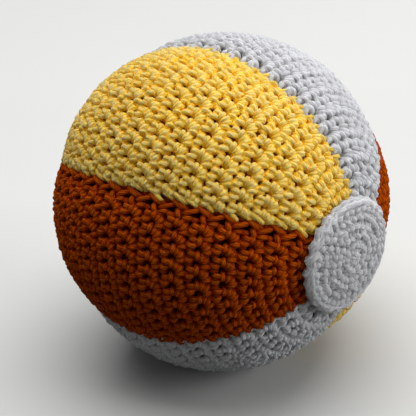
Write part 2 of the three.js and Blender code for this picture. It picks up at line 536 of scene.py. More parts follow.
@dataclass
class YarnLength:
    """A straight length of plied yarn, modelled once and laid along the path of every strand."""

    sides: int
    parts: int
    plies: int
    ply_depth: float = 0.06
    twist: float = 0.75
    taper: float = 0.12
    shade_depth: float = 1.5
    faces: list[list[int]] = field(init=False)
    station: Array = field(init=False)
    side: Array = field(init=False)
    yarn_spots: Array = field(init=False)
    bake_spots: Array = field(init=False)

    def __post_init__(self) -> None:
        """Turns a cylinder into a length of yarn and keeps where its corners lie on it."""
        let_go()
        bpy.ops.mesh.primitive_cylinder_add(
            vertices=self.sides, radius=1.0, depth=1.0, end_fill_type="NGON"
        )
        stick = bpy.context.object
        bpy.ops.object.mode_set(mode="EDIT")
        bpy.ops.mesh.select_mode(type="EDGE")
        bpy.ops.mesh.select_all(action="DESELECT")
        bpy.ops.object.mode_set(mode="OBJECT")
        mesh = stick.data
        for edge in mesh.edges:
            low, high = (mesh.vertices[index].co.z for index in edge.vertices)
            edge.select = abs(low - high) > 0.5
        bpy.ops.object.mode_set(mode="EDIT")
        bpy.ops.mesh.subdivide(number_cuts=self.parts - 1)
        bpy.ops.object.mode_set(mode="OBJECT")
        places = vertex_places(mesh)
        self.station = np.rint((places[:, 2] + 0.5) * self.parts).astype(int)
        angle = np.arctan2(places[:, 1], places[:, 0])
        self.side = np.rint((angle - angle[0]) / math.tau * self.sides).astype(int) % self.sides
        self.faces = [list(face.vertices) for face in mesh.polygons]
        self.map_faces()
        bpy.data.objects.remove(stick, do_unlink=True)

    def map_faces(self) -> None:
        """Maps each face corner along and round the yarn, and to a spot of its own for a bake."""
        yarn, bake = [], []
        for face in self.faces:
            stations = [int(self.station[index]) for index in face]
            sides = [int(self.side[index]) for index in face]
            is_end = len(set(stations)) == 1
            wraps = max(sides) - min(sides) > 1
            for station, side in zip(stations, sides):
                across = self.sides if wraps and side == 0 and not is_end else side
                yarn.append((station / self.parts, across / self.sides))
                if is_end:
                    angle = math.tau * side / self.sides
                    width, height = CELL_END_SIZE
                    middle = CELL_ENDS[0 if station == 0 else 1]
                    aside, up = width * math.cos(angle), height * math.sin(angle)
                    bake.append((middle + aside, CELL_END_ROW + up))
                else:
                    length = CELL_LENGTH * station / self.parts
                    girth = CELL_GIRTH * across / self.sides
                    bake.append((CELL_MARGIN + length, CELL_MARGIN + girth))
        self.yarn_spots = np.array(yarn)
        self.bake_spots = np.array(bake)

    def plump(self, copies: int, thickness: float = YARN_THICKNESS) -> Array:
        """Thickness along each copy of a soft strand, which fills out between its drawn-in ends.

        Args:
            copies: Number of copies.
            thickness: Thickness of the yarn when it lies straight.

        Returns:
            A thickness for each copy and point.
        """
        place = np.linspace(-1.0, 1.0, self.parts + 1)
        return thickness * np.repeat((1.0 - self.taper * place**4)[None], copies, axis=0)

    def lay(self, routes: Routes, thickness: Array) -> tuple[Array, Array]:
        """Bends copies of the length along routes.

        Args:
            routes: Routes of every strand.
            thickness: Yarn thickness for each strand and point.

        Returns:
            Vertices of every copy, and how far each is sunk, from 0 on top to 1 deep down.
        """
        paths, lifted, heights = routes
        rise = lifted - paths
        rise = rise / np.linalg.norm(rise, axis=2, keepdims=True)
        along = np.gradient(paths, axis=1)
        along /= np.linalg.norm(along, axis=2, keepdims=True)
        facing = np.empty_like(paths)
        current = rise[:, 0]
        for step in range(paths.shape[1]):
            ahead = along[:, step]
            current = current - ahead * np.sum(current * ahead, axis=1, keepdims=True)
            current = current / np.maximum(np.linalg.norm(current, axis=1, keepdims=True), 1e-9)
            facing[:, step] = current
        sideways = np.cross(along, facing)
        steps = np.linalg.norm(np.diff(paths, axis=1), axis=2)
        run = np.concatenate([np.zeros((len(paths), 1)), np.cumsum(steps, axis=1)], axis=1)
        angle = math.tau * self.side / self.sides
        lobe = 1.0 + self.ply_depth * np.cos(self.plies * angle)
        turned = angle[None, :] + self.twist * run[:, self.station] / YARN_THICKNESS
        radius = 0.5 * thickness[:, self.station] * lobe[None, :]
        out = (
            facing[:, self.station] * (radius * np.cos(turned))[..., None]
            + sideways[:, self.station] * (radius * np.sin(turned))[..., None]
        )
        # Depth of each point below the fabric's top, for the yarn's painted shade and painted
        # highlight.
        depth = -heights[:, self.station] - np.sum(out * rise[:, self.station], axis=2)
        sunk = np.clip(depth / (self.shade_depth * YARN_THICKNESS), 0.0, 1.0)
        return paths[:, self.station] + out, sunk

    def piece(
        self,
        name: str,
        routes: Routes,
        thickness: Array,
        tints: Array,
        band: Pair = WHOLE_BAND,
        drawn_in: float = 0.0,
    ) -> Object:
        """Lays copies of the length and joins them into one mesh.

        Args:
            name: Name of the piece.
            routes: Routes of every strand.
            thickness: Yarn thickness for each strand and point.
            tints: A number from 0 to 1 for each copy, for its shade.
            band: Lowest and highest row of the bake map that the copies fill.
            drawn_in: How deep every part of the yarn counts at least, which paints shade on it.

        Returns:
            The new object, at the origin.
        """
        laid, sunk = self.lay(routes, thickness)
        laid[..., 2] = np.maximum(laid[..., 2], 0.0)
        copies, points = laid.shape[:2]
        lengths = np.linalg.norm(np.diff(routes[0], axis=1), axis=2).sum(axis=1)
        mesh = bpy.data.meshes.new(name)
        starts = range(0, copies * points, points)
        faces = [[start + index for index in face] for start in starts for face in self.faces]
        mesh.from_pydata(laid.reshape(-1, 3), [], faces)
        spots = np.repeat(self.yarn_spots[None], copies, axis=0)
        stretch, shift = lengths / YARN_THICKNESS, TINT_SHIFT * tints
        spots[:, :, 0] = spots[:, :, 0] * stretch[:, None] + shift[:, None]
        grid = math.ceil(math.sqrt(copies))
        cell = np.stack([np.arange(copies) % grid, np.arange(copies) // grid], -1)
        bakes = (self.bake_spots[None] + cell[:, None]) / grid
        bakes[:, :, 1] = band[0] + (band[1] - band[0]) * bakes[:, :, 1]
        for key, places in ((YARN_MAP, spots), (BAKE_MAP, bakes)):
            layer = mesh.uv_layers.new(name=key)
            layer.data.foreach_set("uv", places.reshape(-1).astype(np.float32))
        # Each point's depth, raised to the least depth for the whole piece: more painted shade,
        # less painted highlight.
        tinted, shaded = np.repeat(tints, points), np.maximum(sunk, drawn_in).reshape(-1)
        for key, values in ((TINT, tinted), (SUNK, shaded)):
            layer = mesh.attributes.new(key, "FLOAT", "POINT")
            layer.data.foreach_set("value", values.astype(np.float32))
        mesh.validate()
        mesh.shade_smooth()
        thing = bpy.data.objects.new(name, mesh)
        bpy.context.scene.collection.objects.link(thing)
        return thing


@dataclass(frozen=True)
class Strand:
    """Path of one strand: across in stitch widths, along in row pairs, up in yarn thicknesses."""

    points: tuple[Triple, ...]
    fullness: float = 1.0

    def curve(self, stations: int) -> Array:
        """Points of the strand's smooth path."""
        return through_points(np.array(self.points), stations)


Strands = tuple[Strand, ...]


def strand_rows(strands: Strands, stations: int, times: int) -> Array:
    """Paths of some strands, one strand a row, again and again."""
    return np.concatenate([np.array([strand.curve(stations) for strand in strands])] * times)


@dataclass(frozen=True)
class SingleCrochetPair:
    """One stitch of a right-side row and one of the row after it, round the hole between them."""

    shoulder: Strand = Strand((
        (-0.1, -0.15, -1.3), (-0.09, -0.215, -0.38), (-0.03, -0.28, 0.08), (0.04, -0.38, 0.2),
        (0.06, -0.47, -0.1), (0.06, -0.55, -1.1)), 1.12)
    leg_left: Strand = Strand((
        (0.07, -0.125, -1.2), (0.16, -0.215, -0.33), (0.28, -0.3, 0.05), (0.42, -0.36, 0.15),
        (0.54, -0.38, -0.1), (0.61, -0.385, -1.1)), 1.2)
    leg_right: Strand = Strand((
        (0.2, -0.085, -1.3), (0.305, -0.13, -0.43), (0.41, -0.17, 0.0), (0.56, -0.205, 0.12),
        (0.69, -0.22, -0.1), (0.78, -0.23, -1.1)), 1.2)
    bar: Strand = Strand((
        (0.26, 0.03, -1.3), (0.37, 0.03, -0.63), (0.47, 0.01, -0.05), (0.61, -0.01, 0.3),
        (0.75, -0.02, 0.35), (0.86, -0.015, -0.05), (0.91, 0.0, -1.0)), 1.05)
    arm_left: Strand = Strand((
        (0.465, 0.095, -1.0), (0.375, 0.155, -0.15), (0.295, 0.225, 0.22), (0.26, 0.305, 0.25),
        (0.285, 0.4, 0.0), (0.36, 0.48, -1.1)), 1.15)
    arm_right: Strand = Strand((
        (0.6, 0.04, -1.0), (0.68, 0.1, -0.15), (0.72, 0.17, 0.2), (0.73, 0.25, 0.22),
        (0.73, 0.32, 0.0), (0.72, 0.38, -1.1)), 1.1)
    core: Strand = Strand((
        (0.48, 0.06, -1.0), (0.48, 0.14, -0.35), (0.49, 0.25, -0.15), (0.5, 0.34, -0.3),
        (0.5, 0.42, -1.0)), 1.2)
    sill: Strand = Strand((
        (0.0, 0.195, -1.3), (-0.02, 0.25, -0.48), (-0.02, 0.32, -0.15), (0.0, 0.41, -0.25),
        (0.03, 0.52, -1.0)), 1.2)
    top_loop: Strand = Strand((
        (0.0, 0.53, -1.1), (0.1, 0.52, -0.5), (0.22, 0.52, -0.35), (0.34, 0.52, -0.5),
        (0.44, 0.52, -1.2)), 1.2)
    inner_leg: Strand = Strand((
        (0.15, -0.18, -1.0), (0.3, -0.23, -0.25), (0.45, -0.27, -0.05), (0.58, -0.3, -0.25),
        (0.68, -0.31, -1.0)), 1.2)
    inner_shoulder: Strand = Strand((
        (-0.26, -0.08, -1.0), (-0.2, -0.18, -0.4), (-0.18, -0.28, -0.25), (-0.16, -0.36, -0.5),
        (-0.14, -0.43, -1.2)), 1.1)
    slope: Strand = Strand((
        (0.285, -0.01, -1.4), (0.35, 0.0, -0.88), (0.43, 0.0, -0.6), (0.51, -0.01, -0.5),
        (0.62, -0.02, -0.9)), 1.5)

    def raised(self) -> Strands:
        """Strands that lie on top."""
        return (
            self.shoulder, self.leg_left, self.leg_right, self.bar, self.arm_left, self.arm_right
        )

    def sunken(self) -> Strands:
        """Strands that show between and under the others."""
        return (
            self.core, self.sill, self.top_loop, self.inner_leg, self.inner_shoulder, self.slope
        )


class Edge(Enum):
    """How a gore's edge is finished, as the stitch widths that the finish takes up.

    A plain edge runs its stitches up to the seam. A chained edge ends in a zigzag of strands along
    the seam. An open edge ends in legs that are pulled apart by the seam.
    """

    PLAIN = 0.0
    CHAINED = 0.95
    OPEN = 0.55


# Strands of one row pair at an edge, across from the seam.
EDGE_STRANDS: dict[Edge, Strands] = {
    Edge.PLAIN: (),
    Edge.OPEN: (
        Strand((
            (-0.05, 0.46, -1.2), (0.06, 0.44, -0.3), (0.26, 0.42, 0.05), (0.46, 0.42, 0.05),
            (0.62, 0.44, -0.3), (0.72, 0.46, -1.2)), 1.15),
        Strand((
            (-0.05, 0.22, -1.3), (0.06, 0.23, -0.5), (0.26, 0.25, -0.2), (0.46, 0.25, -0.15),
            (0.62, 0.24, -0.4), (0.72, 0.22, -1.2)), 1.1),
        Strand((
            (-0.05, -0.32, -1.3), (0.06, -0.3, -0.5), (0.26, -0.26, -0.2), (0.46, -0.24, -0.15),
            (0.62, -0.24, -0.4), (0.72, -0.25, -1.2)), 1.1),
        Strand((
            (0.12, -0.62, -1.4), (0.12, -0.35, -0.6), (0.13, 0.0, -0.5), (0.12, 0.35, -0.6),
            (0.12, 0.62, -1.4)), 1.2),
    ),
    Edge.CHAINED: (
        Strand((
            (-0.02, 0.56, -1.2), (0.05, 0.46, -0.3), (0.2, 0.29, 0.15), (0.38, 0.1, 0.2),
            (0.53, -0.06, -0.1), (0.62, -0.16, -1.1)), 1.05),
        Strand((
            (-0.02, 0.36, -1.3), (0.06, 0.28, -0.45), (0.2, 0.13, -0.05), (0.36, -0.05, 0.0),
            (0.52, -0.22, -0.3), (0.6, -0.3, -1.2)), 1.0),
        Strand((
            (0.9, -0.06, -1.2), (0.8, -0.16, -0.2), (0.65, -0.32, 0.12), (0.48, -0.5, 0.12),
            (0.35, -0.66, -0.2), (0.26, -0.76, -1.1)), 1.1),
        Strand((
            (0.66, 0.12, -1.2), (0.76, 0.1, -0.2), (0.92, 0.06, 0.15), (1.06, 0.02, 0.1),
            (1.18, -0.01, -0.3), (1.26, -0.03, -1.2)), 1.15),
        Strand((
            (0.3, 0.9, -1.3), (0.22, 0.7, -0.6), (0.2, 0.45, -0.5), (0.22, 0.2, -0.6),
            (0.3, 0.0, -1.3)), 1.1),
    ),
}


class Sewing(Enum):
    """Way that a seam is sewn: laid stitches slant along it, whipped ones go straight over it."""

    LAID = "laid"
    WHIPPED = "whipped"


# Two sewing stitches of a row pair: across from the seam, along the seam, and up.
SEWING_STRANDS: dict[Sewing, Strands] = {
    Sewing.WHIPPED: (
        Strand((
            (-0.42, 0.3, -1.4), (-0.32, 0.27, -0.3), (-0.18, 0.23, 0.15), (-0.02, 0.18, 0.3),
            (0.13, 0.13, 0.1), (0.2, 0.1, -0.9))),
        Strand((
            (-0.42, -0.22, -1.4), (-0.32, -0.25, -0.3), (-0.18, -0.29, 0.1), (-0.02, -0.33, 0.2),
            (0.1, -0.37, 0.0), (0.16, -0.39, -1.0))),
    ),
    Sewing.LAID: (
        Strand((
            (-0.5, 0.46, -1.4), (-0.4, 0.36, -0.4), (-0.25, 0.19, 0.1), (-0.08, 0.0, 0.2),
            (0.07, -0.18, 0.05), (0.14, -0.27, -1.0))),
        Strand((
            (-0.46, -0.08, -1.4), (-0.37, -0.18, -0.4), (-0.26, -0.33, 0.0), (-0.14, -0.5, 0.1),
            (-0.03, -0.64, -0.1), (0.02, -0.72, -1.1))),
    ),
}


class YarnWork:
    """Anything worked from yarn, which takes the place of the frame's node of the same name."""

    name: str
    yarn: YarnColour

    def dress(self, piece: Object) -> None:
        """Ties the piece to the frame.

        Args:
            piece: The finished piece.
        """
        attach(piece, BODY)
        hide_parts(self.name)


@dataclass
class CrochetGore(YarnWork):
    """One gore, worked flat in rows of single crochet, with an edge at each of its two seams."""

    name: str
    yarn: YarnColour
    start: float
    phase: float
    seed: int
    edges: tuple[Edge, Edge]
    form: BallForm
    length: YarnLength
    deep_length: YarnLength
    pair: SingleCrochetPair = field(default_factory=SingleCrochetPair)
    hole_inset: float = 0.9
    pole_margin: float = 0.3
    stitch_end: float = 0.7
    edge_end: float = 0.8
    decreases: Pair = (0.25, 0.75)
    looseness: float = 0.024
    slack: Triple = (1.0, 0.5, 2.2)
    unevenness: float = 0.05
    yarn_seed: int = 100
    web_grid: tuple[int, int] = (40, 14)
    web_share: float = 0.485
    web_depth: float = 0.0027
    web_thickness: float = 0.0008
    web_lowest: float = 0.0004

    def cells(self) -> list[tuple[float, int, int]]:
        """Lays out the stitches.

        Returns:
            For each stitch, its row pair's colatitude, its number in the row and the row's count.
        """
        laid = []
        first = FIRST_COLATITUDE + self.pole_margin * ROW_PAIR
        last = math.pi - FIRST_COLATITUDE - self.pole_margin * ROW_PAIR
        for row in range(-1, ROW_PAIRS + 1):
            colatitude = FIRST_COLATITUDE + (row + self.phase) * ROW_PAIR
            if not first < colatitude < last:
                continue
            count = max(1, round(float(self.form.width(np.array(colatitude))) / STITCH_WIDTH))
            laid.extend((colatitude, number, count) for number in range(-1, count))
        return laid

    def place(self, local: Array, colatitude: Array, number: Array, count: Array) -> Routes:
        """Puts strands on the gore.

        Args:
            local: Points of each strand in its stitch.
            colatitude: Colatitude of each strand's row pair.
            number: Number of each strand's stitch in its row.
            count: Stitches in that row.

        Returns:
            Routes of the strands.
        """
        theta = off_poles(colatitude[:, None] + local[:, :, 1] * ROW_PAIR, self.stitch_end)
        stitches = number[:, None] + self.hole_inset + local[:, :, 0]
        full = self.form.width(theta)
        spare = full - count[:, None] * STITCH_WIDTH
        eased = smooth_step(stitches / count[:, None], *self.decreases)
        across = stitches * STITCH_WIDTH + spare * eased
        turn = math.radians(self.start) + GORE_TURN * (1.0 - np.clip(across / full, 0.0, 1.0))
        return self.form.routes(theta, turn, local[:, :, 2])

    def stitches(self, strands: Strands, stations: int, chance: np.random.Generator) -> list[Array]:
        """Lays some strands of every stitch.

        Args:
            strands: Strands of a stitch.
            stations: Number of points along each.
            chance: Source of the small differences between stitches.

        Returns:
            Routes of every strand, and its fullness.
        """
        cells = self.cells()
        local = strand_rows(strands, stations, len(cells))
        fullness = np.array([strand.fullness for strand in strands] * len(cells))
        colatitude, number, count = (
            np.repeat(np.array(values), len(strands)) for values in zip(*cells)
        )
        nudge = chance.normal(0.0, self.looseness, (len(cells), 1, 3))
        nudge = np.repeat(nudge, len(strands), axis=0)
        nudge += chance.normal(0.0, self.looseness, (len(local), 1, 3))
        local = local + nudge * np.array(self.slack)
        middle = number + self.hole_inset + local[:, :, 0].mean(axis=1)
        far, near = self.edges
        kept = (middle > near.value) & (middle < count - far.value)
        routes = self.place(local[kept], colatitude[kept], number[kept], count[kept])
        return [*routes, fullness[kept]]

    def selvedges(
        self, edges: tuple[Edge, ...], stations: int, chance: np.random.Generator
    ) -> Iterator[list[Array]]:
        """Lays the strands along the edges that have a finish.

        Args:
            edges: The edge at the lower turn and the one at the higher turn.
            stations: Number of points along each strand.
            chance: Source of the small differences between strands.

        Yields:
            Routes of every strand of an edge, and its fullness.
        """
        rows = sorted({cell[0] for cell in self.cells()})
        for side, edge in enumerate(edges):
            strands = EDGE_STRANDS[edge]
            if not strands:
                continue
            local = strand_rows(strands, stations, len(rows))
            local = local + chance.normal(0.0, self.looseness, (len(local), 1, 3)) * EDGE_SLACK
            theta = np.repeat(np.array(rows), len(strands))[:, None] + local[:, :, 1] * ROW_PAIR
            theta = off_poles(theta, self.edge_end)
            inset = local[:, :, 0] * STITCH_WIDTH / (self.form.girth_radius * np.sin(theta))
            inset = np.minimum(inset, 0.5 * GORE_TURN)
            turn = math.radians(self.start) + side * GORE_TURN + (1.0 - 2.0 * side) * inset
            fullness = np.array([strand.fullness for strand in strands] * len(rows))
            yield [*self.form.routes(theta, turn, local[:, :, 2]), fullness]

    def build(self) -> Object:
        """Builds the gore from its strands and the web behind them.

        Returns:
            The finished gore.
        """
        cotton = YARNS[self.yarn].material()
        chance = np.random.default_rng(self.seed + self.yarn_seed)
        layers = []
        for length, strands, edges, band in (
            (self.length, self.pair.raised(), self.edges, TOP_BAND),
            (self.deep_length, self.pair.sunken(), (), DEEP_BAND),
        ):
            tension = np.random.default_rng(self.seed)
            rows = self.stitches(strands, length.parts + 1, tension)
            finished = zip(rows, *self.selvedges(edges, length.parts + 1, tension))
            *routes, fullness = (np.concatenate(arrays) for arrays in finished)
            fullness = fullness * (1.0 + chance.normal(0.0, self.unevenness, len(fullness)))
            thickness = length.plump(len(fullness)) * fullness[:, None]
            layer = length.piece(self.name, routes, thickness, chance.random(len(fullness)), band)
            layer.data.materials.append(cotton)
            layers.append(layer)
        return join(join(*layers), self.web())

    def web(self) -> Object:
        """Builds the web of crossing yarn behind the stitches, coloured in painted shade.

        Returns:
            The web, a thin curved sheet.
        """
        let_go()
        columns, rows = self.web_grid
        bpy.ops.mesh.primitive_grid_add(x_subdivisions=columns, y_subdivisions=rows, size=2.0)
        web = bpy.context.object
        flat = vertex_places(web.data)
        span = 0.5 * math.pi - FIRST_COLATITUDE
        theta = 0.5 * math.pi + span * flat[:, 0]
        turn = math.radians(self.start) + GORE_TURN * (0.5 + self.web_share * flat[:, 1])
        places = self.form.point(theta, turn, np.full(len(flat), -self.web_depth))
        places[:, 2] = np.maximum(places[:, 2], self.web_lowest)
        web.data.vertices.foreach_set("co", places.reshape(-1))
        wall = web.modifiers.new("web thickness", "SOLIDIFY")
        wall.thickness = self.web_thickness
        wall.offset = -1.0
        bpy.ops.object.modifier_apply(modifier=wall.name)
        map_strip(web.data)
        web.data.shade_smooth()
        web.data.materials.append(SHADED_WEBS[self.yarn].material())
        return web

    def dress(self, gore: Object) -> None:
        """Ties the gore to the frame."""
        super().dress(gore)


@dataclass
class SeamYarn(YarnWork):
    """Yarn that sews two gores together, in small stitches from one over the other's edge."""

    name: str
    yarn: YarnColour
    turn: float
    hooks: HookSide
    phase: float
    seed: int
    form: BallForm
    length: YarnLength
    reach: float = 1.0
    sewing: Sewing = Sewing.LAID
    looseness: float = 0.06
    # Least depth that the seam's yarn counts at: painted shade, and less painted highlight, all
    # along the seam.
    drawn_in: float = 0.22
    reaches: Pair = (0.6, 1.1)
    pole_margins: Pair = (0.6, 0.3)
    least_girth: float = 0.008

    def build(self) -> Object:
        """Builds the row of sewing stitches.

        Returns:
            The finished seam.
        """
        chance = np.random.default_rng(self.seed)
        strands = SEWING_STRANDS[self.sewing]
        rows = FIRST_COLATITUDE + (np.arange(ROW_PAIRS + 1) + self.phase) * ROW_PAIR
        first, last = (margin * ROW_PAIR for margin in self.pole_margins)
        rows = rows[(rows > FIRST_COLATITUDE + first) & (rows < math.pi - FIRST_COLATITUDE - last)]
        local = strand_rows(strands, self.length.parts + 1, len(rows))
        local = local + chance.normal(0.0, self.looseness, (len(local), 1, 3)) * EDGE_SLACK
        theta = off_poles(np.repeat(rows, len(strands))[:, None] + local[:, :, 1] * ROW_PAIR)
        girth = np.maximum(self.form.girth_radius * np.sin(theta), self.least_girth)
        reach = self.reach * chance.uniform(*self.reaches, (len(local), 1))
        across = np.where(local[:, :, 0] > 0.0, reach, 1.0) * local[:, :, 0] * STITCH_WIDTH
        turn = math.radians(self.turn) + self.hooks.value * across / girth
        routes = self.form.routes(theta, turn, local[:, :, 2])
        plump, tints = self.length.plump(len(local)), chance.random(len(local))
        seam = self.length.piece(self.name, routes, plump, tints, drawn_in=self.drawn_in)
        seam.data.materials.append(YARNS[self.yarn].material())
        return seam


@dataclass
class PoleCap:
    """Where a disc lies over a pole: its middle, a little off the pole, and the way round it."""

    form: BallForm
    side: float
    shift: float = 0.0073
    shift_turn: float = 114.0
    lift: float = 0.001

    def point(self, radius: Array, heading: Array, height: Array) -> Array:
        """Places points over the pole.

        Args:
            radius: Distance from the disc's middle, along the ball.
            heading: Angle round the disc.
            height: Height above the ball.

        Returns:
            Points, with x, y and z on the last axis.
        """
        lean = math.radians(self.shift_turn)
        tilt = np.array([0.0, -math.sin(lean), math.cos(lean)])
        middle = np.array([self.form.pole_radius, 0.0, 0.0]) + tilt * self.shift
        middle /= np.linalg.norm(middle)
        across = np.cross(tilt, middle)
        across /= np.linalg.norm(across)
        onward = np.cross(middle, across)
        bend = np.asarray(radius) / self.form.pole_radius
        way = (
            middle * np.cos(bend)[..., None]
            + onward * (np.sin(bend) * np.cos(heading))[..., None]
            + across * (np.sin(bend) * np.sin(heading))[..., None]
        )
        ahead, aside = way[..., 0], np.hypot(way[..., 1], way[..., 2])
        surface = 1.0 / np.hypot(ahead / self.form.pole_radius, aside / self.form.girth_radius)
        place = way * (surface + height)[..., None]
        turned = place * np.array([self.side, self.side, 1.0])
        return turned + np.array([0.0, 0.0, self.form.centre_height])

    def both(self, radius: Array, heading: Array, height: Array) -> list[Array]:
        """Places points over the pole, and the same points moved outward."""
        return [self.point(radius, heading, height + up) for up in (0.0, self.lift)]


@dataclass
class PoleDisc(YarnWork):
    """White disc worked in rounds from its middle, with a chain edge, sewn over a pole."""

    name: str
    cap: PoleCap
    seed: int
    length: YarnLength
    yarn: YarnColour = YarnColour.WHITE
    radius: float = 0.02375
    top: float = 0.0034
    rounds: int = 6
    increase: int = 6
    rim: float = 0.0028
    links: int = 30
    thickness: float = 0.0018
    puff: float = 1.45
    leg_fullness: float = 1.2
    cord: float = 1.5
    slants: Pair = (0.05, 0.22)
    stitch_looseness: float = 0.07
    strand_looseness: float = 0.04
    link_looseness: Triple = (0.04, 0.00015, 0.0001)
    least_radius: float = 0.0003
    ripple: float = 0.0009
    ripples: int = 27
    ripple_drift: float = 3.0
    body_sides: int = 48
    body_rings: int = 5
    body_ring: float = 0.16
    body_inset: float = 0.0012
    body_floor: float = 0.0003
    body_sink: float = 1.1
    body_slope: float = 0.0008
    body_shoulder: Pair = (0.8, 1.0)

    def bump(self, slant: float) -> Strand:
        """Bump of one stitch: across in stitches, outward in rounds, up in yarn thicknesses.

        Args:
            slant: How far the bump leans outward over half its width, in rounds.

        Returns:
            The bump's path.
        """
        return Strand((
            (0.22, 0.5 - slant, -1.3), (0.3, 0.5 - 0.7 * slant, -0.5), (0.5, 0.5, -0.1),
            (0.7, 0.5 + 0.7 * slant, -0.5), (0.78, 0.5 + slant, -1.3)))

    def legs(self) -> Strands:
        """Strands beside a bump, in the same measures."""
        return (
            Strand((
                (0.02, 0.3, -1.2), (-0.02, 0.55, -0.55), (0.0, 0.85, -0.5), (0.08, 1.1, -1.2))),
            Strand((
                (0.44, 0.7, -1.2), (0.48, 0.88, -0.6), (0.52, 1.08, -0.55), (0.56, 1.28, -1.2))),
        )

    def edge(self) -> Strands:
        """Strands of one link of the edge: across in links, out and up in metres from the rim."""
        return (
            Strand((
                (-0.8, -0.0036, -0.0028), (-0.2, -0.003, -0.0017), (0.5, -0.0025, -0.00135),
                (1.2, -0.002, -0.0017), (1.8, -0.0016, -0.0028))),
            Strand((
                (-0.8, -0.0015, -0.003), (-0.2, -0.0013, -0.0024), (0.5, -0.0012, -0.0022),
                (1.2, -0.0013, -0.0024), (1.8, -0.0015, -0.003))),
        )

    def build(self) -> Object:
        """Builds the rounds, the edge and the dense body under them.

        Returns:
            The finished disc.
        """
        chance = np.random.default_rng(self.seed)
        stations = self.length.parts + 1
        ring = (self.radius - self.rim) / self.rounds
        radii, headings, heights, fullness = [], [], [], []
        for number in range(self.rounds):
            count = self.increase * (number + 1)
            offset = chance.random() * math.tau
            for stitch in range(count):
                nudge = chance.normal(0.0, self.stitch_looseness, (1, 3))
                bump = self.bump(chance.uniform(*self.slants) * (1.0 if number % 2 else -1.0))
                for strand in (bump, *self.legs()):
                    shake = chance.normal(0.0, self.strand_looseness, (1, 3))
                    local = strand.curve(stations) + nudge + shake
                    radii.append(np.maximum((number + local[:, 1]) * ring, self.least_radius))
                    headings.append(offset + math.tau * (stitch + local[:, 0]) / count)
                    heights.append(self.top + (local[:, 2] - 0.5) * self.thickness)
                    fullness.append(self.puff if strand is bump else self.leg_fullness)
        for link in range(self.links):
            for strand in self.edge():
                local = strand.curve(stations)
                local = local + chance.normal(0.0, 1.0, (1, 3)) * np.array(self.link_looseness)
                heading = math.tau * (link + local[:, 0]) / self.links
                drift = np.sin(self.ripple_drift * heading)
                wave = self.ripple * np.sin(self.ripples * heading + drift)
                radii.append(self.radius + local[:, 1] + wave)
                headings.append(heading)
                heights.append(self.top + local[:, 2])
                fullness.append(self.cord)
        height = np.array(heights)
        routes = (*self.cap.both(np.array(radii), np.array(headings), height), height - self.top)
        plump = self.length.plump(len(radii), self.thickness) * np.array(fullness)[:, None]
        disc = self.length.piece(self.name, routes, plump, chance.random(len(radii)), DISC_BAND)
        disc.data.materials.append(YARNS[self.yarn].material())
        return join(disc, self.body())

    def body(self) -> Object:
        """Builds the dense body of the disc, under its stitches, coloured in painted shade.

        Returns:
            The body, a low curved cake.
        """
        let_go()
        bpy.ops.mesh.primitive_cylinder_add(
            vertices=self.body_sides, depth=1.0, end_fill_type="NGON"
        )
        body = bpy.context.object
        for face in body.data.polygons:
            face.select = abs(face.normal.z) > 0.5
        bpy.ops.object.mode_set(mode="EDIT")
        for _ in range(self.body_rings):
            bpy.ops.mesh.inset(thickness=self.body_ring, depth=0.0, use_individual=True)
        bpy.ops.object.mode_set(mode="OBJECT")
        flat = vertex_places(body.data)
        reach = np.hypot(flat[:, 0], flat[:, 1])
        slope = self.body_slope * smooth_step(reach, *self.body_shoulder)
        ceiling = self.top - self.body_sink * self.thickness - slope
        height = np.where(flat[:, 2] > 0, ceiling, self.body_floor)
        radius = reach * (self.radius - self.body_inset)
        places = self.cap.point(radius, np.arctan2(flat[:, 1], flat[:, 0]), height)
        body.data.vertices.foreach_set("co", places.reshape(-1))
        take_up(body)
        bpy.ops.object.mode_set(mode="EDIT")
        bpy.ops.mesh.select_all(action="SELECT")
        bpy.ops.mesh.normals_make_consistent(inside=False)
        bpy.ops.object.mode_set(mode="OBJECT")
        map_strip(body.data)
        body.data.materials.append(SHADED_DISC_BODY.material())
        return body

    def dress(self, disc: Object) -> None:
        """Ties the disc to the frame."""
        super().dress(disc)


@dataclass
class DiscSewingYarn(YarnWork):
    """Thin yarn that sews a disc down, in small stitches under its rim."""

    name: str
    cap: PoleCap
    seed: int
    length: YarnLength
    yarn: YarnColour = YarnColour.WHITE
    circle: float = 0.02075
    thickness: float = 0.001
    stitches: int = 36
    looseness: float = 0.0001

    def rung(self) -> Strand:
        """One stitch: across in stitches, outward and up in metres from the sewn circle."""
        return Strand((
            (-0.35, 0.0012, 0.0), (-0.1, 0.0016, 0.0008), (0.4, 0.001, 0.0012), (0.9, 0.0, 0.0008),
            (1.1, -0.0006, 0.0)))

    def build(self) -> Object:
        """Builds the ring of small stitches.

        Returns:
            The finished sewing yarn.
        """
        chance = np.random.default_rng(self.seed)
        stations = self.length.parts + 1
        local = np.repeat(self.rung().curve(stations)[None], self.stitches, axis=0)
        heading = math.tau * (np.arange(self.stitches)[:, None] + local[:, :, 0]) / self.stitches
        shake = chance.normal(0.0, self.looseness, (self.stitches, 1))
        radius = self.circle + local[:, :, 1] + shake
        routes = (*self.cap.both(radius, heading, local[:, :, 2]), np.zeros(radius.shape))
        thickness = self.thickness * np.ones((self.stitches, stations))
        ring = self.length.piece(self.name, routes, thickness, chance.random(self.stitches))
        ring.data.materials.append(YARNS[self.yarn].material())
        return ring


